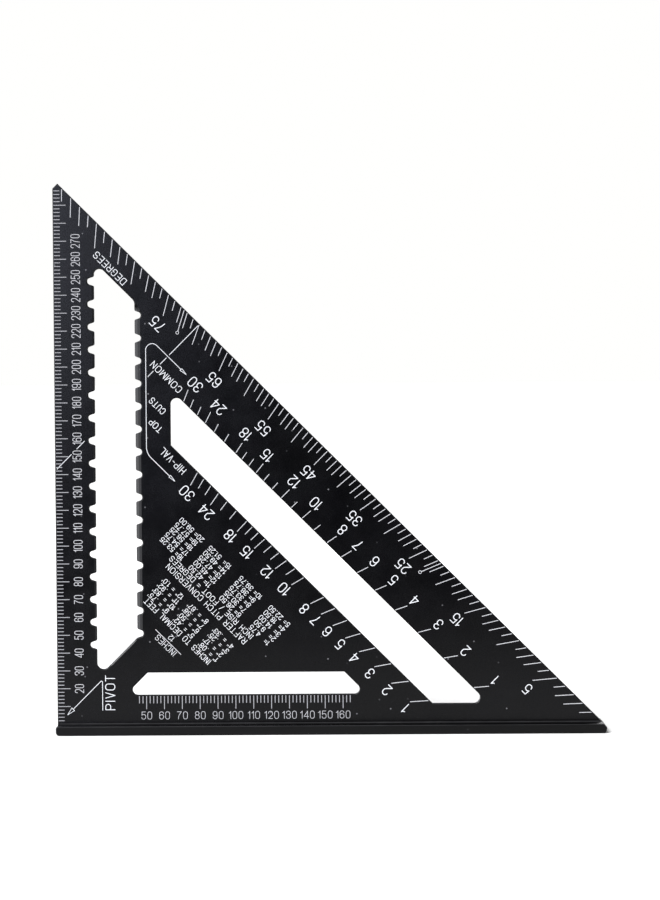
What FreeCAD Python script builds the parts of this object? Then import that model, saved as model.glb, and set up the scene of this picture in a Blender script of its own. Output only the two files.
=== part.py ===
import FreeCAD, Part
import math
import os

# A 12 inch rafter square in black anodised aluminium: a right-angled triangular blade whose foot
# is seated in a fence, with white scales, numerals and layout marks on the blade's front face and
# the two scales that are read from behind on its back face.
#
# The shapes are drawn in the blade's own plane: x runs along the fence from the square corner,
# and z runs up the blade from the fence's top face, which is the zero of every scale.
# in_frame() then moves them to the frame of the whole object: +Z up, origin in the middle of the
# fence's underside, marked face towards -Y.

# ---- driving dimensions, millimetres ----

LEG = 304.8                 # both legs of the right angle, 12 inches
BLADE_T = 3.0               # thickness of the blade
TIP_Z = 299.3               # where the square-cut tip meets the upright edge
EDGE_CHAMFER = 0.4          # small chamfer on the blade's front and back outlines

FENCE_LENGTH = 306.6
FENCE_WIDTH = 22.0
FENCE_HEIGHT = 5.3
FENCE_ROUND = 0.6           # rounding of the fence's long edges
FENCE_END_ROUND = 1.4       # rounding across its two ends
FENCE_FOOT_ROUND = 2.2      # the larger rounding under its left end
FENCE_END_DRAFT = (0.9, 2.2)    # how far its right end leans in at the foot, and over what height
FENCE_DRAFT_ROUNDS = (0.9, 1.5)
GROOVE_DEPTH = 3.2          # groove in the fence that takes the foot of the blade
GROOVE_BEAD = 0.5           # small slope that closes the groove against both faces of the blade

NOTCH_PITCH = 12.7          # scribing notches every half inch
NOTCH_MOUTH = 5.1           # width of a notch at its mouth and at its bottom, before rounding
NOTCH_BOTTOM = 2.7
NOTCH_R = 1.7               # rounding of its bottom
NOTCH_MOUTH_R = 0.9

SCRIBE_LEFT = 22.55         # the two upright sides of the scribe slot
SCRIBE_RIGHT = 45.05
SCRIBE_SUM = 281.5          # x + z along the slot's upper edge
SCRIBE_RISE = 3.4           # z - x along the slot's lower edge
LEFT_NOTCHES = 17
LEFT_NOTCH_Z = 44.45        # height of the lowest notch on the left side
LEFT_NOTCH_DEPTH = 3.7
RIGHT_NOTCHES = 15
RIGHT_NOTCH_Z = 50.8
RIGHT_NOTCH_DEPTH = 3.45

RULE_SLOT_BOTTOM = 16.15    # the level slot above the fence, whose lower edge is a rule
RULE_SLOT_TOP = 28.7
RULE_SLOT_LEFT_RISE = -22.0     # z - x along its left end
RULE_SLOT_RIGHT_SUM = 189.5     # x + z along its right end
RULE_SLOT_R = 2.9

FRONT = 1                   # the two faces that are marked: on the back, x is drawn leftwards
BACK = -1

SCRIBE_CHAMFER = 0.6
BEVELS = [                  # start, stop, width and depth of the wide bevels around the scribe slot
    ((SCRIBE_RIGHT, 53.5), (SCRIBE_RIGHT, 230.5), 3.1, 0.97),
    ((SCRIBE_RIGHT, 53.5), (SCRIBE_RIGHT, 230.5), 2.5, 1.34),
    ((SCRIBE_LEFT, 245.0), (SCRIBE_LEFT, 45.0), 1.1, 0.7),
    ((30.5, 30.5 + SCRIBE_RISE), (43.5, 43.5 + SCRIBE_RISE), 0.9, 0.7),
]

HAND_SLOT_LEFT = 64.8       # the long hand slot, parallel to the hypotenuse
HAND_SLOT_FLOOR = 10.55
HIP_SUM = 220.7             # x + z along its lower edge, which carries the hip-valley scale
COMMON_SUM = 251.9          # x + z along its upper edge, which carries the common scale

INK_T = 0.06                # the markings stand this proud of the blade
TICK_W = 0.38               # ticks of the degree scale and of the two rafter scales
NUMERAL_STROKE = 0.50       # their numerals
RULE_TICK_W = 0.42          # ticks of the millimetre rules
EDGE_RULE_STROKE = 0.36     # numerals up the upright edge
SLOT_RULE_STROKE = 0.32     # numerals under the rule slot
WORD_STROKE = 0.38
PIVOT_STROKE = 0.43
TABLE_STROKE = 0.26
LINE_W = 0.36
ARROW_STROKE = 0.30
SCALE_INSET = 0.55          # ticks start this far in from an edge, clear of its chamfer

EDGE_LAST = 298             # last tick of the scale up the upright edge
EDGE_NUMERAL_X = 12.45
SLOT_NUMERAL_Z = 4.7
LABEL_H = 6.2               # numerals beside the hypotenuse and the hand slot
DEGREE_TICK_DEPTHS = (11.0, 5.4, 8.3, 8.3, 5.4)     # by the remainder of the angle after fives
HALF_MARK_DEPTH = 12.1
HALF_MARK_R = 0.8
DEGREE_LABEL_SUM = 281.5    # x + z through the middle of the degree numerals
DEGREE_LABEL_SHIFTS = {     # how far each of them stands down the slope from its tick
    5: 4.2,
    15: 2.0,
    25: 1.9,
    35: 1.4,
    45: 0.8,
    55: 0.4,
    65: -0.3,
    75: -1.7,
}
COMMON_LABEL_SUM = 268.5
HIP_LABEL_SUM = 202.7
LABELLED_RISES = (30, 24, 18, 15, 12, 10, 8, 7, 6, 5, 4, 3, 2, 1)
COMMON_SHORT_RISES = (28, 26, 22, 20, 17, 16, 14, 13, 11, 9)
HIP_SHORT_RISES = (28, 26, 22, 20, 17, 16, 14, 13, 11)

BRACKET_X = 51.2            # upright part of the bracket beside the scribe slot
RAFTER_ARROW = (4.0, 1.4)   # length and breadth of the heads that point at the rafter scales
COMMON_ARROW_TIP = (73.7, 195.4)
HIP_ARROW_TIP = (66.9, 135.9)
PIVOT_ARROW = (4.4, 2.1)
PIVOT_ARROW_TIP = (5.7, 5.3)
PIVOT_LINE_X = 25.4
PIVOT_LINE_FOOT = 7.8
LAYOUT_RISE = 142.0         # z - x along the 45 degree layout line
LAYOUT_DASHES = ((1.0, 9.3), (12.2, 16.7), (52.3, 55.5), (59.2, 62.8), (64.4, 80.6))
TABLE_AT = (92.8, 76.5)     # anchor of the conversion tables
FEET_COLUMNS = (-13.1, 6.7, 26.5)           # right-hand ends of the columns
PITCH_COLUMNS = (-26.6, -3.3, 20.8, 43.2)

SQ2 = math.sqrt(2.0)
FRONT_Y = -BLADE_T / 2.0
HYPOTENUSE_READING = 135.0  # text beside the hypotenuse is turned this far anticlockwise
HYPOTENUSE_READING_BACK = 225.0
UPRIGHT_READING = 90.0

# The words: text, height, pen, the middle of the text, reading direction and length.
WORDS = {
    "degrees_label": [("DEGREES", 4.1, WORD_STROKE, (31.7, 254.8), HYPOTENUSE_READING, 23.5)],
    "pivot_label": [("PIVOT", 5.6, PIVOT_STROKE, (29.7, 17.6), UPRIGHT_READING, 19.5)],
    "common_label": [("COMMON", 4.0, WORD_STROKE, (62.6, 194.1), HYPOTENUSE_READING, 22.2)],
    "hip_valley_label": [("HIP-VAL", 4.2, WORD_STROKE, (65.8, 147.3), HYPOTENUSE_READING, 18.0)],
    "top_cuts_label": [
        ("TOP", 3.8, WORD_STROKE, (56.4, 167.0), HYPOTENUSE_READING, 8.3),
        ("CUTS", 3.8, WORD_STROKE, (57.5, 178.0), HYPOTENUSE_READING, 10.6),
    ],
}

V = FreeCAD.Vector
os.makedirs("parts", exist_ok=True)


# ---- general helpers ----

def in_frame(shape):
    """Moves a finished shape from blade coordinates to the frame of the whole object."""
    moved = shape.copy()
    moved.translate(V(-FENCE_LENGTH / 2.0, 0, FENCE_HEIGHT))
    return moved


def export(name, solids, face=FRONT):
    """Writes one node; what was drawn for the back is turned round to it."""
    shape = solids if isinstance(solids, Part.Shape) else Part.makeCompound(solids)
    if face == BACK:
        shape.rotate(V(0, 0, 0), V(0, 0, 1), 180)
    in_frame(shape).exportStep("parts/" + name + ".step")
    print(name, len(shape.Solids), "solids", len(shape.Faces), "faces", shape.isValid())


def path(points, closed):
    """A wire in the x-z plane through (x, z) or (x, z, radius of the rounded corner)."""
    corners = [(p[0], p[1], p[2] if len(p) == 3 else 0.0) for p in points]
    last = len(corners) - 1
    ends = []
    for i, (x, z, radius) in enumerate(corners):
        here = V(x, 0, z)
        if radius <= 0 or (not closed and i in (0, last)):
            ends.append((here, None, here))
            continue
        before = corners[i - 1]
        after = corners[0] if i == last else corners[i + 1]
        back = (V(before[0], 0, before[1]) - here).normalize()
        ahead = (V(after[0], 0, after[1]) - here).normalize()
        half = back.getAngle(ahead) / 2.0
        bisector = (back + ahead).normalize()
        middle = here + bisector * (radius / math.sin(half) - radius)
        reach = radius / math.tan(half)
        ends.append((here + back * reach, middle, here + ahead * reach))
    edges = []
    for i, (start, middle, stop) in enumerate(ends):
        if middle is not None:
            edges.append(Part.Arc(start, middle, stop).toShape())
        if i == last and not closed:
            break
        following = ends[0][0] if i == last else ends[i + 1][0]
        if (following - stop).Length > 1e-6:
            edges.append(Part.LineSegment(stop, following).toShape())
    return Part.Wire(edges)


def prism(points, front, back):
    """A closed outline in the x-z plane, made solid between two depths."""
    outline = path(points, True)
    outline.translate(V(0, front, 0))
    return Part.Face(outline).extrude(V(0, back - front, 0))


def on_sum_and_x(total, x):
    """The point at x on the line where x + z is total."""
    return (x, total - x)


# ---- blade ----

def notch(side_x, depth, z, outward):
    """Corner points of one notch, in order of rising or falling height as outward says."""
    far = side_x + depth
    mouth = outward * NOTCH_MOUTH / 2.0
    bottom = outward * NOTCH_BOTTOM / 2.0
    return [
        (side_x, z - mouth, NOTCH_MOUTH_R),
        (far, z - bottom, NOTCH_R),
        (far, z + bottom, NOTCH_R),
        (side_x, z + mouth, NOTCH_MOUTH_R),
    ]


def scribe_slot_outline():
    """Anticlockwise from the lower left corner: lower edge, notched right side, upper edge, left."""
    points = [(SCRIBE_LEFT, SCRIBE_LEFT + SCRIBE_RISE, 3.4)]
    lowest = notch(SCRIBE_RIGHT, RIGHT_NOTCH_DEPTH, RIGHT_NOTCH_Z, 1)
    slope = (lowest[1][1] - lowest[0][1]) / RIGHT_NOTCH_DEPTH
    meets = (lowest[0][1] - slope * SCRIBE_RIGHT - SCRIBE_RISE) / (1.0 - slope)
    points.append((meets, meets + SCRIBE_RISE, 1.2))
    points.extend(lowest[1:])
    for i in range(1, RIGHT_NOTCHES):
        points.extend(notch(SCRIBE_RIGHT, RIGHT_NOTCH_DEPTH, RIGHT_NOTCH_Z + i * NOTCH_PITCH, 1))
    points.append(on_sum_and_x(SCRIBE_SUM, SCRIBE_RIGHT) + (4.0,))
    points.append(on_sum_and_x(SCRIBE_SUM, SCRIBE_LEFT) + (3.2,))
    for i in reversed(range(LEFT_NOTCHES)):
        points.extend(notch(SCRIBE_LEFT, -LEFT_NOTCH_DEPTH, LEFT_NOTCH_Z + i * NOTCH_PITCH, -1))
    return points


def rule_slot_outline():
    low, high = RULE_SLOT_BOTTOM, RULE_SLOT_TOP
    return [
        (low - RULE_SLOT_LEFT_RISE, low, RULE_SLOT_R),
        (RULE_SLOT_RIGHT_SUM - low, low, RULE_SLOT_R),
        (RULE_SLOT_RIGHT_SUM - high, high),
        (high - RULE_SLOT_LEFT_RISE, high),
    ]


def hand_slot_outline():
    return [
        (HIP_SUM - HAND_SLOT_FLOOR, HAND_SLOT_FLOOR),
        (COMMON_SUM - HAND_SLOT_FLOOR, HAND_SLOT_FLOOR, 3.4),
        on_sum_and_x(COMMON_SUM, HAND_SLOT_LEFT) + (3.4,),
        on_sum_and_x(HIP_SUM, HAND_SLOT_LEFT),
    ]


def plate_outline():
    """The blade above the fence: square corner, hypotenuse, and the square-cut tip."""
    tip_x = (LEG - TIP_Z) / 2.0
    return [(0, 0), (LEG, 0), on_sum_and_x(LEG, tip_x), (0, TIP_Z)]


def rims(shape, outline):
    """The front and back edges of a plate along one outline, apart from its foot."""
    found = []
    wanted = path(outline, True)
    for edge in shape.Edges:
        box = edge.BoundBox
        on_a_face = box.YLength < 1e-6 and abs(abs(box.YMin) + FRONT_Y) < 1e-6
        above_foot = box.ZMax > 1e-6
        if not (on_a_face and above_foot):
            continue
        middle = edge.valueAt((edge.FirstParameter + edge.LastParameter) / 2.0)
        middle.y = 0
        if wanted.distToShape(Part.Vertex(middle))[0] < 1e-4:
            found.append(edge)
    return found


def milled_bevel(start, stop, width, depth):
    """What a conical cutter takes off the front as it runs along an edge, with the plate on its right."""
    run = V(stop[0] - start[0], 0, stop[1] - start[1])
    across = V(run.z, 0, -run.x).normalize()
    above = 1.0                                     # the cutter stands out of the front face
    deep_r = 2.0
    front_r = deep_r + width * (depth + above) / depth
    floor_y = FRONT_Y + depth
    start_axis = V(start[0], floor_y, start[1]) - across * deep_r
    pieces = []
    for base in (start_axis, start_axis + run):
        pieces.append(Part.makeCone(deep_r, front_r, depth + above, base, V(0, -1, 0)))
    lift = V(0, -depth - above, 0)
    deep_edge = start_axis + across * deep_r
    front_edge = start_axis + lift + across * front_r
    corners = [start_axis, deep_edge, front_edge, start_axis + lift, start_axis]
    section = Part.Face(Part.makePolygon(corners))
    return pieces + [section.extrude(run)]


def blade():
    shape = prism(plate_outline(), FRONT_Y, -FRONT_Y)
    for outline in (scribe_slot_outline(), rule_slot_outline(), hand_slot_outline()):
        shape = shape.cut(prism(outline, FRONT_Y - 1.0, 1.0 - FRONT_Y))
    for outline in (plate_outline(), rule_slot_outline(), hand_slot_outline()):
        shape = shape.makeChamfer(EDGE_CHAMFER, rims(shape, outline))
    shape = shape.makeChamfer(SCRIBE_CHAMFER, rims(shape, scribe_slot_outline()))
    for bevel in BEVELS:
        for cutter in milled_bevel(*bevel):
            shape = shape.cut(cutter)
    foot_right = [(FENCE_LENGTH, -GROOVE_DEPTH), (FENCE_LENGTH, LEG - FENCE_LENGTH), (LEG, 0)]
    foot = prism([(0, 0), (0, -GROOVE_DEPTH)] + foot_right, FRONT_Y, -FRONT_Y)
    return shape.fuse(foot)


# ---- fence ----

def fence():
    """A flat bar with a groove along its top for the blade's foot, ends cut to the triangle."""
    low = -FENCE_HEIGHT
    cut = FENCE_LENGTH - LEG
    half = FENCE_WIDTH / 2.0
    lean, lean_height = FENCE_END_DRAFT
    outline = [
        (0, low, FENCE_FOOT_ROUND),
        (FENCE_LENGTH - lean, low, FENCE_DRAFT_ROUNDS[0]),
        (FENCE_LENGTH, low + lean_height, FENCE_DRAFT_ROUNDS[1]),
        (FENCE_LENGTH, -cut, FENCE_END_ROUND),
        (LEG, 0),
        (0, 0, FENCE_END_ROUND),
    ]
    shape = prism(outline, -half, half)
    long_edges = [edge for edge in shape.Edges if edge.BoundBox.XLength > LEG / 2.0]
    shape = shape.makeFillet(FENCE_ROUND, long_edges)
    for face_y, side in ((FRONT_Y, -1), (-FRONT_Y, 1)):
        low_edge = V(FENCE_END_ROUND, face_y + side * GROOVE_BEAD, 0)
        corner = V(FENCE_END_ROUND, face_y, 0)
        high_edge = corner + V(0, 0, GROOVE_BEAD)
        bead = Part.Face(Part.makePolygon([low_edge, corner, high_edge, low_edge]))
        shape = shape.fuse(bead.extrude(V(LEG - FENCE_END_ROUND - GROOVE_BEAD, 0, 0)))
    groove = Part.makeBox(FENCE_LENGTH + 2, BLADE_T, GROOVE_DEPTH + 1, V(-1, FRONT_Y, -GROOVE_DEPTH))
    return shape.cut(groove)


# ---- markings: strokes, glyphs and text ----

def ink(face):
    """A flat shape on the blade's front face, raised by the ink's thickness."""
    face.translate(V(0, FRONT_Y, 0))
    return face.extrude(V(0, -INK_T, 0)).Solids[0]


def round_bar(start, stop, width):
    """The outline of a straight pen line with round ends."""
    half = width / 2.0
    length = math.hypot(stop[0] - start[0], stop[1] - start[1])
    along = ((stop[0] - start[0]) / length * half, (stop[1] - start[1]) / length * half)
    side = (-along[1], along[0])
    corners = []
    for end, ahead, left in ((start, -1, -1), (stop, 1, -1), (stop, 1, 1), (start, -1, 1)):
        corners.append((
            end[0] + ahead * along[0] + left * side[0],
            end[1] + ahead * along[1] + left * side[1],
            half,
        ))
    return path(corners, True)


def stroke(points, width, closed=False):
    """A pen line of constant width: a closed line leaves a ring, an open one has round ends."""
    if len(points) == 2:
        return ink(Part.Face(round_bar(points[0], points[1], width)))
    spine = path(points, closed)
    outer = ink(Part.Face(spine.makeOffset2D(width / 2.0)))
    if not closed:
        return outer
    hole = Part.Face(spine.makeOffset2D(-width / 2.0))
    hole.translate(V(0, FRONT_Y + 1.0, 0))
    return outer.cut(hole.extrude(V(0, -2.0 - INK_T, 0))).Solids[0]


def line(start, stop, width):
    """A square-ended straight mark, such as a tick."""
    along = V(stop[0] - start[0], 0, stop[1] - start[1])
    side = V(-along.z, 0, along.x).normalize() * (width / 2.0)
    a = V(start[0], 0, start[1])
    b = V(stop[0], 0, stop[1])
    corners = [a - side, b - side, b + side, a + side, a - side]
    return ink(Part.Face(Part.makePolygon(corners)))


W = 0.52                    # breadth of most characters, for a height of 1
R = W / 2.0
BOWL = 0.24
GAP = 0.27                  # space between the centre lines of neighbouring characters

# Each character is its breadth and its pen strokes. A stroke is "open" or "ring" and its corner
# points: across, up and the corner's radius.
GLYPHS = {
    "0": (W, [("ring", [
        (0.03, 0, BOWL), (W - 0.03, 0, BOWL), (W + 0.02, 0.5, 2.4), (W - 0.03, 1, BOWL), (0.03, 1, BOWL),
        (-0.02, 0.5, 2.4),
    ])]),
    "1": (0.22, [("open", [(0, 0.78), (0.10, 0.81), (0.22, 1), (0.22, 0)])]),
    "2": (W, [("open", [(0, 0.74), (0, 1, R), (W, 1, R), (W, 0.52, 0.2), (0, 0), (W, 0)])]),
    "3": (W, [
        ("open", [(0, 0.76), (0, 1, BOWL), (W, 1, BOWL), (W, 0.54, 0.22), (0.2, 0.54)]),
        ("open", [(0.2, 0.54), (W, 0.54, BOWL), (W, 0, R), (0, 0, R), (0, 0.26)]),
    ]),
    "4": (W, [("open", [(0.43, 0), (0.43, 1)]), ("open", [(0.43, 1), (-0.03, 0.26), (W + 0.03, 0.26)])]),
    "5": (W, [("open", [
        (W - 0.03, 1), (0.06, 1), (0.02, 0.53), (0.14, 0.64, 0.1), (W, 0.64, R), (W, 0, R),
        (0, 0, BOWL), (0, BOWL),
    ])]),
    "6": (W, [
        ("ring", [(0, 0, R), (W, 0, R), (W, 0.6, R), (0, 0.6, R)]),
        ("open", [(0, 0.3), (0, 1, R), (W, 1, R), (W, 0.74)]),
    ]),
    "7": (W, [("open", [(0, 1), (W, 1), (0.2, 0.5, 0.8), (0.12, 0)])]),
    "8": (W, [
        ("ring", [(0, 0, R), (W, 0, R), (W, 0.54, R), (0, 0.54, R)]),
        ("ring", [(0.03, 0.54, 0.22), (0.5, 0.54, 0.22), (0.5, 1, 0.22), (0.03, 1, 0.22)]),
    ]),
    "9": (W, [
        ("ring", [(0, 0.4, R), (W, 0.4, R), (W, 1, R), (0, 1, R)]),
        ("open", [(W, 0.7), (W, 0, R), (0, 0, R), (0, 0.26)]),
    ]),
    "A": (W, [("open", [(0, 0), (R, 1), (W, 0)]), ("open", [(0.1, 0.34), (W - 0.1, 0.34)])]),
    "C": (W, [("open", [(W, 0.74), (W, 1, R), (0, 1, R), (0, 0, R), (W, 0, R), (W, 0.26)])]),
    "D": (W, [("ring", [(0, 0), (W, 0, R), (W, 1, R), (0, 1)])]),
    "E": (0.48, [("open", [(0.48, 1), (0, 1), (0, 0), (0.48, 0)]), ("open", [(0, 0.53), (0.4, 0.53)])]),
    "F": (0.46, [("open", [(0.46, 1), (0, 1), (0, 0)]), ("open", [(0, 0.53), (0.4, 0.53)])]),
    "G": (W, [("open", [
        (W, 0.74), (W, 1, R), (0, 1, R), (0, 0, R), (W, 0, R), (W, 0.46), (0.3, 0.46),
    ])]),
    "H": (W, [
        ("open", [(0, 0), (0, 1)]),
        ("open", [(W, 0), (W, 1)]),
        ("open", [(0, 0.52), (W, 0.52)]),
    ]),
    "I": (0.06, [("open", [(0.03, 0), (0.03, 1)])]),
    "L": (0.44, [("open", [(0, 1), (0, 0), (0.44, 0)])]),
    "M": (0.68, [("open", [(0, 0), (0, 1), (0.34, 0.1), (0.68, 1), (0.68, 0)])]),
    "N": (W, [("open", [(0, 0), (0, 1), (W, 0), (W, 1)])]),
    "O": (0.58, [("ring", [(0, 0, 0.29), (0.58, 0, 0.29), (0.58, 1, 0.29), (0, 1, 0.29)])]),
    "P": (W, [("open", [(0, 0), (0, 1)]), ("open", [(0, 1), (W, 1, BOWL), (W, 0.47, BOWL), (0, 0.47)])]),
    "R": (W, [
        ("open", [(0, 0), (0, 1)]),
        ("open", [(0, 1), (W, 1, BOWL), (W, 0.47, BOWL), (0, 0.47)]),
        ("open", [(0.26, 0.47), (W, 0)]),
    ]),
    "S": (W, [("open", [
        (W, 0.76), (W, 1, BOWL), (0, 1, BOWL), (0, 0.53, 0.22), (W, 0.53, 0.22), (W, 0, BOWL),
        (0, 0, BOWL), (0, 0.24),
    ])]),
    "T": (W, [("open", [(0, 1), (W, 1)]), ("open", [(R, 1), (R, 0)])]),
    "U": (W, [("open", [(0, 1), (0, 0, R), (W, 0, R), (W, 1)])]),
    "V": (W, [("open", [(0, 1), (R, 0), (W, 1)])]),
    "-": (0.3, [("open", [(0, 0.48), (0.3, 0.48)])]),
    "=": (0.46, [("open", [(0, 0.32), (0.46, 0.32)]), ("open", [(0, 0.68), (0.46, 0.68)])]),
    "/": (0.36, [("open", [(0, 0), (0.36, 1)])]),
    ".": (0.08, [("open", [(0, 0), (0.08, 0)])]),
    "'": (0.06, [("open", [(0.03, 1), (0.03, 0.78)])]),
    '"': (0.2, [("open", [(0, 1), (0, 0.78)]), ("open", [(0.2, 1), (0.2, 0.78)])]),
}
SPACE = 0.3

made_glyphs = {}


def glyph(character, height, stretch, pen):
    """The solids of one character, its lower left corner at the origin of the blade's plane."""
    key = (character, height, stretch, pen)
    if key not in made_glyphs:
        rise = height - pen
        strokes = []
        for kind, points in GLYPHS[character][1]:
            scaled = []
            for point in points:
                radius = point[2] if len(point) == 3 else 0.0
                radius = radius * rise * min(stretch, 1.0)
                scaled.append((point[0] * rise * stretch, point[1] * rise + pen / 2.0, radius))
            strokes.append(stroke(scaled, pen, kind == "ring"))
        whole = strokes[0]
        for other in strokes[1:]:
            whole = whole.fuse(other)
        made_glyphs[key] = whole.removeSplitter().Solids
    return made_glyphs[key]


def natural_length(words):
    """Length of a text from its first to its last centre line, for a height of 1."""
    total = -GAP
    for character in words:
        total += (SPACE if character == " " else GLYPHS[character][0]) + GAP
    return total


def text(words, height, pen, at, turn, length=None, stretch=1.0, align=0.5):
    """Text with the point at the share align of its length, half way up, set on a point of the blade."""
    rise = height - pen
    if length is not None:
        stretch = (length - pen) / (natural_length(words) * rise)
    across = -align * natural_length(words) * rise * stretch
    solids = []
    for character in words:
        if character == " ":
            across += (SPACE + GAP) * rise * stretch
            continue
        for solid in glyph(character, height, round(stretch, 4), pen):
            placed = solid.copy()
            placed.translate(V(across, 0, -height / 2.0))
            placed.rotate(V(0, 0, 0), V(0, -1, 0), turn)
            placed.translate(V(at[0], 0, at[1]))
            solids.append(placed)
        across += (GLYPHS[character][0] + GAP) * rise * stretch
    return solids


# ---- markings: scales ----

def ray_meets(angle, total, face=FRONT):
    """Where the ray from the square corner at an angle above the fence has x + z equal to total."""
    x = total / (1.0 + math.tan(math.radians(angle)))
    return (face * x, total - x)


def ray_tick(angle, total, inset, depth, face=FRONT):
    """A tick along a ray, from inset to depth mm square to the line x + z = total."""
    start = ray_meets(angle, total - inset * SQ2, face)
    stop = ray_meets(angle, total - depth * SQ2, face)
    return line(start, stop, TICK_W)


def edge_scale(prefix, face):
    """Millimetres up the upright edge."""
    fine = []
    tens = []
    numerals = []
    for z in range(2, EDGE_LAST + 1, 2):
        if z % 10:
            fine.append(line((face * SCALE_INSET, z), (face * 4.0, z), RULE_TICK_W))
        else:
            tens.append(line((face * SCALE_INSET, z), (face * 7.4, z), RULE_TICK_W))
    for z in range(20, 271, 10):
        at = (face * EDGE_NUMERAL_X, z)
        numerals += text(str(z), 5.1, EDGE_RULE_STROKE, at, face * UPRIGHT_READING, stretch=0.74)
    export(prefix + "edge_scale_fine_ticks", fine, face)
    export(prefix + "edge_scale_ten_ticks", tens, face)
    export(prefix + "edge_scale_numerals", numerals, face)
    return fine + tens


def slot_scale():
    """Millimetres along the lower edge of the rule slot, measured from the square corner."""
    fine = []
    tens = []
    numerals = []
    top = RULE_SLOT_BOTTOM - SCALE_INSET
    for x in range(46, 165, 2):
        if x % 10:
            fine.append(line((x, top), (x, RULE_SLOT_BOTTOM - 4.6), RULE_TICK_W))
        else:
            tens.append(line((x, top), (x, RULE_SLOT_BOTTOM - 7.9), RULE_TICK_W))
            numerals += text(str(x), 4.4, SLOT_RULE_STROKE, (x, SLOT_NUMERAL_Z), 0, stretch=1.05)
    export("slot_scale_fine_ticks", fine)
    export("slot_scale_ten_ticks", tens)
    export("slot_scale_numerals", numerals)


def degree_scale(prefix, face):
    """Degrees about the square corner, read along the hypotenuse, every ten of them numbered."""
    ticks = []
    numerals = []
    for angle in range(1, 90):
        ticks.append(ray_tick(angle, LEG, SCALE_INSET, DEGREE_TICK_DEPTHS[angle % 5], face))
    reading = HYPOTENUSE_READING if face == FRONT else HYPOTENUSE_READING_BACK
    for angle, along in DEGREE_LABEL_SHIFTS.items():
        x, z = ray_meets(angle, DEGREE_LABEL_SUM)
        at = (face * (x + along), z - along)
        numerals += text(str(angle), LABEL_H, NUMERAL_STROKE, at, reading)
    export(prefix + "degree_scale_ticks", ticks, face)
    export(prefix + "degree_scale_numerals", numerals, face)
    return ticks


def degree_half_marks():
    """The ringed half degrees, at 22.5 and 72.5."""
    marks = []
    for angle in (22.5, 72.5):
        x, z = ray_meets(angle, LEG - HALF_MARK_DEPTH * SQ2)
        r = HALF_MARK_R
        circle = [(x - r, z - r, r), (x + r, z - r, r), (x + r, z + r, r), (x - r, z + r, r)]
        tick = ray_tick(angle, LEG, SCALE_INSET, HALF_MARK_DEPTH - r)
        marks.append(tick.fuse(stroke(circle, ARROW_STROKE, True)))
    export("degree_half_marks", marks)


def rafter_scale(name, total, side, run, label_sum, long_depth, short_depth, short_rises, shift):
    """Rises per foot of run as rays; side is +1 where the ticks go down from the line, -1 up."""
    ticks = []
    numerals = []
    for rise in LABELLED_RISES:
        angle = math.degrees(math.atan2(rise, run))
        ticks.append(ray_tick(angle, total, side * SCALE_INSET, side * long_depth))
        x, z = ray_meets(angle, label_sum)
        along = shift(rise)
        at = (x + along, z - along)
        numerals += text(str(rise), LABEL_H, NUMERAL_STROKE, at, HYPOTENUSE_READING)
    for rise in short_rises:
        angle = math.degrees(math.atan2(rise, run))
        ticks.append(ray_tick(angle, total, side * SCALE_INSET, side * short_depth))
    export(name + "_scale_ticks", ticks)
    export(name + "_scale_numerals", numerals)


def common_shift(rise):
    """How far a numeral of the common scale stands down the slope from its tick."""
    return 2.0 if rise >= 24 else -0.6 - 2.0 / rise


def hip_shift(rise):
    """The same for the hip-valley scale."""
    return 0.3 if rise >= 24 else max(-0.7, 4.0 - 0.4 * rise)


# ---- markings: words, arrows and tables ----

def arrow_head(tip, toward, size):
    """A hollow triangle; toward is the direction, in degrees above +x, in which it points."""
    length, breadth = size
    ahead = math.radians(toward)
    along = (math.cos(ahead), math.sin(ahead))
    base = (tip[0] - along[0] * length, tip[1] - along[1] * length)
    half = breadth / 2.0
    left = (base[0] - along[1] * half, base[1] + along[0] * half)
    right = (base[0] + along[1] * half, base[1] - along[0] * half)
    return stroke([tip, left, right], ARROW_STROKE, True), base


def top_cuts_arrow():
    """The bracket line that leads from the words to the first rise of both rafter scales."""
    common_head, common_base = arrow_head(COMMON_ARROW_TIP, -45, RAFTER_ARROW)
    hip_head, hip_base = arrow_head(HIP_ARROW_TIP, -45, RAFTER_ARROW)
    upper_corner = on_sum_and_x(sum(common_base), BRACKET_X)
    lower_corner = on_sum_and_x(sum(hip_base), BRACKET_X)
    spine = [common_base, upper_corner + (3.65,), lower_corner + (8.5,), hip_base]
    export("top_cuts_arrow", stroke(spine, LINE_W).fuse([common_head, hip_head]))


def pivot_arrow():
    """Points at the square corner, the pivot of every angle."""
    head, base = arrow_head(PIVOT_ARROW_TIP, 225, PIVOT_ARROW)
    stem = base[0] - base[1]
    spine = [base, (PIVOT_LINE_X, PIVOT_LINE_X - stem, 0.6), (PIVOT_LINE_X, PIVOT_LINE_FOOT)]
    export("pivot_arrow", stroke(spine, LINE_W).fuse(head))


def layout_line(ticks):
    """A 45 degree line across the blade, broken where other marks and the slot cross it."""
    solids = []
    for start, stop in LAYOUT_DASHES:
        dash = line((start, start + LAYOUT_RISE), (stop, stop + LAYOUT_RISE), LINE_W)
        crossed = [tick for tick in ticks if tick.BoundBox.intersect(dash.BoundBox)]
        solids += dash.cut(crossed).Solids if crossed else [dash]
    export("layout_line", solids)


def labels():
    for name, words in WORDS.items():
        solids = []
        for word in words:
            solids += text(*word)
        export(name, solids)


def table_point(across, down):
    """A point of the tables: across in the reading direction, down the page, from their anchor."""
    return (TABLE_AT[0] + (down - across) / SQ2, TABLE_AT[1] + (down + across) / SQ2)


def table_text(words, across, down, height, length=None, stretch=1.0, align=0.5):
    at = table_point(across, down)
    return text(words, height, TABLE_STROKE, at, HYPOTENUSE_READING, length, stretch, align)


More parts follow.
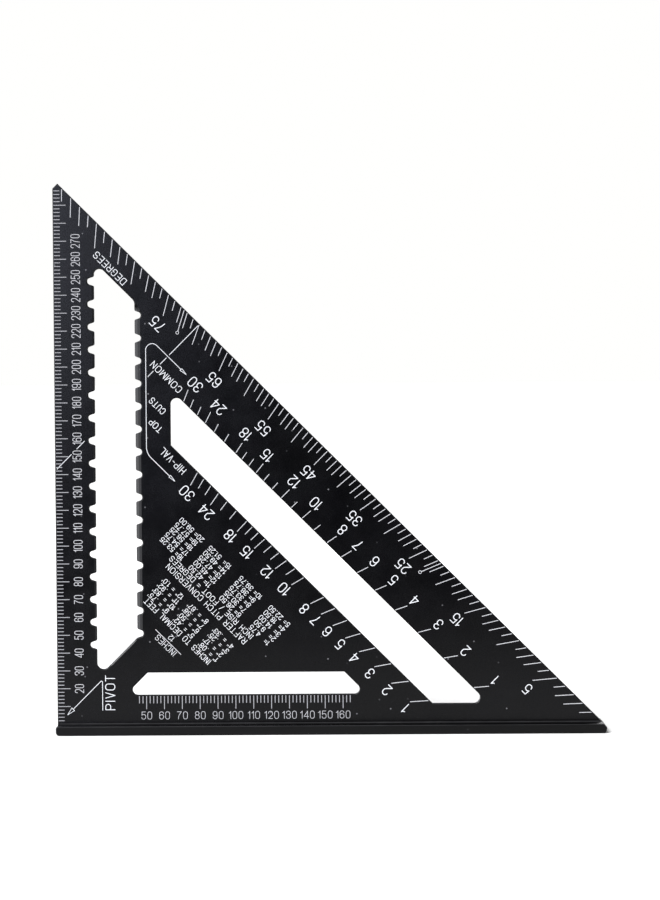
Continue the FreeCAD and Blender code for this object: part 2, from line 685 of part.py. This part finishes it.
def inches_over_twelve():
    solids = table_text("INCHES", -0.5, -45.4, 3.5, length=14.5)
    solids.append(line(table_point(-10.2, -43.1), table_point(9.9, -43.1), TABLE_STROKE))
    solids += table_text("12", 0.1, -40.3, 3.2)
    export("inches_over_twelve_mark", solids)


def feet_table():
    """Inches as decimal parts of a foot."""
    export("feet_table_heading", table_text("INCHES TO DECIMAL FEET", 0.4, -35.2, 3.4, length=50.3))
    solids = []
    for inches in range(1, 13):
        column, row = divmod(inches - 1, 4)
        feet = "%.2f" % (inches / 12.0)
        entry = str(inches) + '" = ' + (feet.lstrip("0") if inches < 12 else "1.0") + "'"
        down = -31.3 + 3.77 * row
        solids += table_text(entry, FEET_COLUMNS[column], down, 2.9, stretch=1.08, align=1.0)
    export("feet_table_rows", solids)


def pitch_table():
    """Rise in inches per foot of run as degrees, to the nearest quarter."""
    heading = table_text("RAFTER PITCH CONVERSION", -0.4, -12.8, 3.5, length=61.3)
    heading += table_text("INCH RISE / FOOT = DEGREES", 0.2, -8.4, 3.2, length=63.8)
    export("pitch_table_heading", heading)
    solids = []
    for rise in range(1, 21):
        column, row = divmod(rise - 1, 5)
        degrees = round(4.0 * math.degrees(math.atan2(rise, 12))) / 4.0
        across = PITCH_COLUMNS[column]
        down = -4.5 + 3.84 * row
        solids += table_text("%.2f" % degrees, across, down, 2.9, stretch=1.1, align=1.0)
        solids += table_text(str(rise) + "=", across - 11.4, down, 2.9, stretch=1.1, align=1.0)
    export("pitch_table_rows", solids)


# ---- the whole square ----

export("blade", blade())
export("fence", fence())
edge_ticks = edge_scale("", FRONT)
slot_scale()
degree_ticks = degree_scale("", FRONT)
degree_half_marks()
rafter_scale("common", COMMON_SUM, -1, 12.0, COMMON_LABEL_SUM, 6.9, 5.1, COMMON_SHORT_RISES, common_shift)
rafter_scale("hip_valley", HIP_SUM, 1, 12.0 * SQ2, HIP_LABEL_SUM, 8.2, 6.3, HIP_SHORT_RISES, hip_shift)
top_cuts_arrow()
pivot_arrow()
layout_line(edge_ticks + degree_ticks)
labels()
inches_over_twelve()
feet_table()
pitch_table()
edge_scale("back_", BACK)
degree_scale("back_", BACK)
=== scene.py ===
import math

import bpy
from mathutils import Matrix, Vector

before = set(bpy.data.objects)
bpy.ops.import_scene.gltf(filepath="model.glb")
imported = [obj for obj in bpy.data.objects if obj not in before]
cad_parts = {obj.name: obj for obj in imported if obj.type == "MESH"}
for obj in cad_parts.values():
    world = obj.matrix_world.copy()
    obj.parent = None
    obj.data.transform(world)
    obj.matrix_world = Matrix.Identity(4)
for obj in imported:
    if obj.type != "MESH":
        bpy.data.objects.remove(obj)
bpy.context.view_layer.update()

MM = 0.001

# The view: almost square on to the marked face, a little above the middle, at arm's length.
CAMERA_AT = Vector((12.1, -1300.0, 198.0)) * MM
CAMERA_TURN = math.radians(0.52)        # to the left, about the vertical
CAMERA_DIP = math.radians(1.76)         # below level
CAMERA_ROLL = math.radians(0.38)
IMAGE_HEIGHT = 900                      # pixels
FOCAL_LENGTH = 2329.7                   # in the same pixels
SENSOR_HEIGHT = 24.0
NEAREST_SEEN = 0.05
FURTHEST_SEEN = 100.0

# The floor, a disc that reaches a little way in front of the square and far behind it.
FLOOR_RADIUS = 40.0
FLOOR_FRONT = 0.45
FLOOR_SIDES = 96
FLOOR_TONES = ((0.86, 0.86, 0.855), (0.88, 0.88, 0.875))

# The surroundings: what the camera sees, and the dimmer light that they give.
BACKDROP = (1.0, 1.0, 0.99)
AMBIENT_COLOUR = (0.96, 0.97, 1.0)
AMBIENT = 0.07

# The lights. The sun is so broad that its shadows have no edge.
SUN_POWER = 6.0
SUN_BREADTH = math.radians(50)
SUN_DIRECTION = Vector((0.85, 0.72, -1.00))
LIT_POINT = (0.0, 0.0, 0.13)            # what every softbox is turned to
SOFTBOXES = (                           # name, place, side, power and colour
    ("key", (-0.87, -2.0, 0.60), 0.9, 23.5, (0.77, 0.81, 1.0)),
    ("side", (-1.40, -0.85, 0.30), 1.0, 6.0, (1.0, 1.0, 1.0)),
    ("rim", (0.8, 1.8, 1.0), 1.2, 16.0, (1.0, 1.0, 1.0)),
)

# Black anodising: the two tones of its clouds, its roughness and its specular level.
BLADE_FINISH = ((0.0006, 0.0006, 0.0007), (0.0011, 0.0011, 0.0016), 0.25, 0.17)
FENCE_FINISH = ((0.0010, 0.0010, 0.0010), (0.0016, 0.0016, 0.0016), 0.36, 0.135)
# Cut walls and bevels: paler partly as wear, partly as a painted edge highlight.
CUT_WEAR_AND_HIGHLIGHT_COLOUR = (0.020, 0.020, 0.021)
# Steep bevels that look left, towards the lights: a painted highlight.
STEEP_BEVEL_HIGHLIGHT_COLOUR = (0.038, 0.038, 0.039)
# Faces that look up or down: painted shade.
LEVEL_FACE_SHADE_COLOUR = (0.0016, 0.0016, 0.0017)
LEVEL_ROUGHNESS_DROP = 0.16
DUST_COLOUR = (0.22, 0.22, 0.23)
DUST_SPREAD = 60.0                      # places for a speck to the metre
DUST_COVER = 0.7                        # of the palest speck

# Screen-printed white: its tone where it covers well, and where it is worn thin.
WHITE_INK = ((0.60, 0.61, 0.62), (0.30, 0.30, 0.31))
FINE_TEXT_INK = ((0.72, 0.73, 0.74), (0.42, 0.42, 0.43))
FINE_TICK_INK = ((0.46, 0.46, 0.47), (0.22, 0.22, 0.225))
THIN_RULE_INK = ((0.39, 0.39, 0.40), (0.19, 0.19, 0.195))
FAINT_TICK_INK = ((0.28, 0.28, 0.29), (0.14, 0.14, 0.145))

# A Mix node's sockets when it mixes colours.
MIX_SHARE = 0
MIX_FIRST = 6
MIX_SECOND = 7
MIX_RESULT = 2


# ---- shader helpers ----

def new_material(name):
    """A node material with its Principled shader, and a function that adds nodes to it."""
    material = bpy.data.materials.new(name)
    material.use_nodes = True
    tree = material.node_tree
    shader = tree.nodes["Principled BSDF"]

    def add(kind, **settings):
        node = tree.nodes.new(kind)
        for key, value in settings.items():
            setattr(node, key, value)
        return node

    return material, tree.links, shader, add


def noise(add, links, place, scale, detail, roughness=0.5):
    """The value of a noise texture of that many cycles to the metre."""
    node = add("ShaderNodeTexNoise")
    node.inputs["Scale"].default_value = scale
    node.inputs["Detail"].default_value = detail
    node.inputs["Roughness"].default_value = roughness
    links.new(place, node.inputs["Vector"])
    return node.outputs["Fac"]


def remap(add, links, value, low, high, to_low, to_high):
    """Value from low..high to to_low..to_high, held at both ends."""
    node = add("ShaderNodeMapRange")
    for key, number in (("From Min", low), ("From Max", high), ("To Min", to_low), ("To Max", to_high)):
        node.inputs[key].default_value = number
    links.new(value, node.inputs["Value"])
    return node.outputs["Result"]


def math_node(add, links, operation, *values):
    """The result of an operation on one or two outputs."""
    node = add("ShaderNodeMath", operation=operation)
    for value, socket in zip(values, node.inputs):
        links.new(value, socket)
    return node.outputs[0]


def mix_colour(add, links, share, first, second):
    """A share of the second colour laid over the first; each is a colour or another node's output."""
    node = add("ShaderNodeMix", data_type="RGBA")
    links.new(share, node.inputs[MIX_SHARE])
    for index, colour in ((MIX_FIRST, first), (MIX_SECOND, second)):
        if isinstance(colour, tuple):
            node.inputs[index].default_value = colour + (1.0,)
        else:
            links.new(colour, node.inputs[index])
    return node.outputs[MIX_RESULT]


def bump(add, links, shader, height, distance, strength):
    """A relief of that many metres on the shader."""
    node = add("ShaderNodeBump")
    node.inputs["Distance"].default_value = distance
    node.inputs["Strength"].default_value = strength
    links.new(height, node.inputs["Height"])
    links.new(node.outputs["Normal"], shader.inputs["Normal"])


# ---- materials ----

def facing_shares(add, links):
    """How far a face is a cut wall, a steep bevel that looks left, or level, each from 0 to 1."""
    normal = add("ShaderNodeSeparateXYZ")
    links.new(add("ShaderNodeNewGeometry").outputs["True Normal"], normal.inputs[0])
    facing = math_node(add, links, "ABSOLUTE", normal.outputs["Y"])
    cut = remap(add, links, facing, 0.86, 0.97, 1.0, 0.0)

    left = remap(add, links, normal.outputs["X"], -0.22, -0.40, 0.0, 1.0)
    front = remap(add, links, normal.outputs["Y"], -0.60, -0.75, 0.0, 1.0)
    steep = math_node(add, links, "MULTIPLY", left, front)

    up = remap(add, links, normal.outputs["Z"], 0.80, 0.95, 0.0, 1.0)
    down = remap(add, links, normal.outputs["Z"], -0.10, -0.45, 0.0, 1.0)
    level = math_node(add, links, "MAXIMUM", up, down)
    return cut, steep, level


def dust_share(add, links, place):
    """Small specks scattered over the plane of the blade, some of them fainter than others."""
    apart = add("ShaderNodeSeparateXYZ")
    links.new(place, apart.inputs[0])
    plane = add("ShaderNodeCombineXYZ")
    links.new(apart.outputs["X"], plane.inputs["X"])
    links.new(apart.outputs["Z"], plane.inputs["Y"])
    specks = add("ShaderNodeTexVoronoi", feature="F1", voronoi_dimensions="2D")
    specks.inputs["Scale"].default_value = DUST_SPREAD
    links.new(plane.outputs[0], specks.inputs["Vector"])
    near = remap(add, links, specks.outputs["Distance"], 0.014, 0.032, 1.0, 0.0)
    chosen = add("ShaderNodeSeparateColor")
    links.new(specks.outputs["Color"], chosen.inputs[0])
    some = remap(add, links, chosen.outputs[0], 0.5, 1.0, 0.0, DUST_COVER)
    return math_node(add, links, "MULTIPLY", near, some)


def black_anodised(name, dark, light, roughness, specular):
    """Bead-blasted black anodised aluminium: fine grain, a cloudy tone and dust, with paler machined
    cut walls and bevels (partly wear, partly a painted edge highlight), a painted highlight on steep
    bevels that look left, and painted shade on faces that look up or down.
    """
    material, links, shader, add = new_material(name)
    place = add("ShaderNodeTexCoord").outputs["Object"]
    grain = noise(add, links, place, 2600.0, 3.0, 0.7)
    clouds = noise(add, links, place, 9.0, 4.0, 0.55)
    smudges = noise(add, links, place, 55.0, 5.0, 0.6)
    cut, steep, level = facing_shares(add, links)

    tone = remap(add, links, clouds, 0.35, 0.65, 0.0, 1.0)
    colour = mix_colour(add, links, tone, dark, light)
    colour = mix_colour(add, links, dust_share(add, links, place), colour, DUST_COLOUR)
    # Cut walls and bevels are paler, unevenly so, partly as wear and partly as a painted edge
    # highlight; the steep bevels beside the notches that look left are the palest, a painted highlight.
    worn_and_highlit = math_node(add, links, "MULTIPLY", cut, remap(add, links, smudges, 0.3, 0.7, 0.55, 1.0))
    colour = mix_colour(add, links, worn_and_highlit, colour, CUT_WEAR_AND_HIGHLIGHT_COLOUR)
    colour = mix_colour(add, links, steep, colour, STEEP_BEVEL_HIGHLIGHT_COLOUR)
    # Faces that look up or down get painted shade, as dark as the faces of the blade, and they are
    # smoother.
    colour = mix_colour(add, links, level, colour, LEVEL_FACE_SHADE_COLOUR)
    links.new(colour, shader.inputs["Base Color"])

    fine = remap(add, links, grain, 0.3, 0.7, -0.05, 0.05)
    broad = remap(add, links, smudges, 0.3, 0.7, roughness - 0.05, roughness + 0.05)
    satin = math_node(add, links, "ADD", broad, fine)
    smoother = remap(add, links, level, 0.0, 1.0, 0.0, -LEVEL_ROUGHNESS_DROP)
    links.new(math_node(add, links, "ADD", satin, smoother), shader.inputs["Roughness"])
    shader.inputs["Specular IOR Level"].default_value = specular
    bump(add, links, shader, grain, 0.03 * MM, 0.25)
    return material


def printed_ink(name, pale, worn):
    """Matt screen-printed white: slightly uneven cover, with fine pinholes."""
    material, links, shader, add = new_material(name)
    place = add("ShaderNodeTexCoord").outputs["Object"]
    cover = noise(add, links, place, 1500.0, 3.0, 0.6)
    patches = noise(add, links, place, 40.0, 3.0)
    thin = remap(add, links, cover, 0.28, 0.50, 1.0, 0.0)
    wear = remap(add, links, patches, 0.40, 0.75, 0.25, 0.75)
    share = math_node(add, links, "MULTIPLY", thin, wear)
    links.new(mix_colour(add, links, share, pale, worn), shader.inputs["Base Color"])
    links.new(remap(add, links, cover, 0.3, 0.7, 0.62, 0.78), shader.inputs["Roughness"])
    shader.inputs["Specular IOR Level"].default_value = 0.25
    bump(add, links, shader, cover, 0.02 * MM, 0.4)
    return material


def paper_floor():
    """Matt white paper with a faint tooth."""
    material, links, shader, add = new_material("pale_floor")
    place = add("ShaderNodeTexCoord").outputs["Object"]
    tooth = noise(add, links, place, 300.0, 3.0)
    links.new(mix_colour(add, links, tooth, *FLOOR_TONES), shader.inputs["Base Color"])
    shader.inputs["Roughness"].default_value = 0.9
    shader.inputs["Specular IOR Level"].default_value = 0.1
    return material


def dress_cad_nodes():
    """Every node keeps its CAD shape and gets its finish by name."""
    metals = {
        "blade": black_anodised("anodised_blade", *BLADE_FINISH),
        "fence": black_anodised("anodised_fence", *FENCE_FINISH),
    }
    white = printed_ink("white_ink", *WHITE_INK)
    fine_text = printed_ink("fine_text_ink", *FINE_TEXT_INK)
    fine_tick = printed_ink("fine_tick_ink", *FINE_TICK_INK)
    thin_rule = printed_ink("thin_rule_ink", *THIN_RULE_INK)
    faint_tick = printed_ink("faint_tick_ink", *FAINT_TICK_INK)
    for name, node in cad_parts.items():
        finish = white
        if name in metals:
            finish = metals[name]
        elif "edge_scale" in name or "slot_scale" in name:
            finish = thin_rule if name.endswith("numerals") else faint_tick
        elif name.endswith("ticks") or name.endswith("half_marks"):
            finish = fine_tick
        elif "table" in name:
            finish = fine_text
        node.data.materials.clear()
        node.data.materials.append(finish)


# ---- stage, light and camera ----

def floor():
    """A plain pale disc that the square stands on, near its front edge."""
    middle = (0.0, FLOOR_RADIUS - FLOOR_FRONT, 0.0)
    bpy.ops.mesh.primitive_circle_add(
        vertices=FLOOR_SIDES, radius=FLOOR_RADIUS, fill_type="NGON", location=middle)
    disc = bpy.context.object
    disc.name = "floor"
    disc.data.materials.append(paper_floor())


def put_in_scene(name, data):
    """A new object for a light or a camera."""
    thing = bpy.data.objects.new(name, data)
    bpy.context.scene.collection.objects.link(thing)
    return thing


def turned_along(direction):
    """The rotation that points a light along a direction."""
    return direction.to_track_quat("-Z", "Y").to_euler()


def softbox(name, place, side, power, colour):
    """A square area light that faces the middle of the square."""
    data = bpy.data.lights.new(name, "AREA")
    data.shape = "RECTANGLE"
    data.size = side
    data.size_y = side
    data.energy = power
    data.color = colour
    light = put_in_scene(name, data)
    light.location = place
    light.rotation_euler = turned_along(Vector(LIT_POINT) - Vector(place))


def sun():
    """The broad soft light from the upper left."""
    data = bpy.data.lights.new("broad_light", "SUN")
    data.energy = SUN_POWER
    data.angle = SUN_BREADTH
    put_in_scene("broad_light", data).rotation_euler = turned_along(SUN_DIRECTION)


def surroundings():
    """White where the camera sees them, but they light the square only dimly."""
    world = bpy.data.worlds.new("studio")
    bpy.context.scene.world = world
    world.use_nodes = True
    nodes = world.node_tree.nodes
    links = world.node_tree.links
    seen = nodes["Background"]
    seen.inputs["Color"].default_value = BACKDROP + (1.0,)
    lighting = nodes.new("ShaderNodeBackground")
    lighting.inputs["Color"].default_value = AMBIENT_COLOUR + (1.0,)
    lighting.inputs["Strength"].default_value = AMBIENT
    which = nodes.new("ShaderNodeMixShader")
    links.new(nodes.new("ShaderNodeLightPath").outputs["Is Camera Ray"], which.inputs["Fac"])
    links.new(lighting.outputs[0], which.inputs[1])
    links.new(seen.outputs[0], which.inputs[2])
    links.new(which.outputs[0], nodes["World Output"].inputs["Surface"])


def camera():
    """Turned, dipped and rolled from a level view along +Y."""
    data = bpy.data.cameras.new("camera")
    data.sensor_fit = "VERTICAL"
    data.sensor_height = SENSOR_HEIGHT
    data.lens = FOCAL_LENGTH / IMAGE_HEIGHT * SENSOR_HEIGHT
    data.clip_start = NEAREST_SEEN
    data.clip_end = FURTHEST_SEEN
    view = put_in_scene("camera", data)
    turn = Matrix.Rotation(CAMERA_TURN, 4, "Z")
    dip = Matrix.Rotation(-CAMERA_DIP, 4, "X")
    roll = Matrix.Rotation(CAMERA_ROLL, 4, "Y")
    level = Matrix.Rotation(math.radians(90), 4, "X")
    view.matrix_world = Matrix.Translation(CAMERA_AT) @ turn @ dip @ roll @ level
    bpy.context.scene.camera = view


dress_cad_nodes()
floor()
surroundings()
sun()
for box in SOFTBOXES:
    softbox(*box)
camera()
bpy.context.scene.view_settings.view_transform = "Standard"
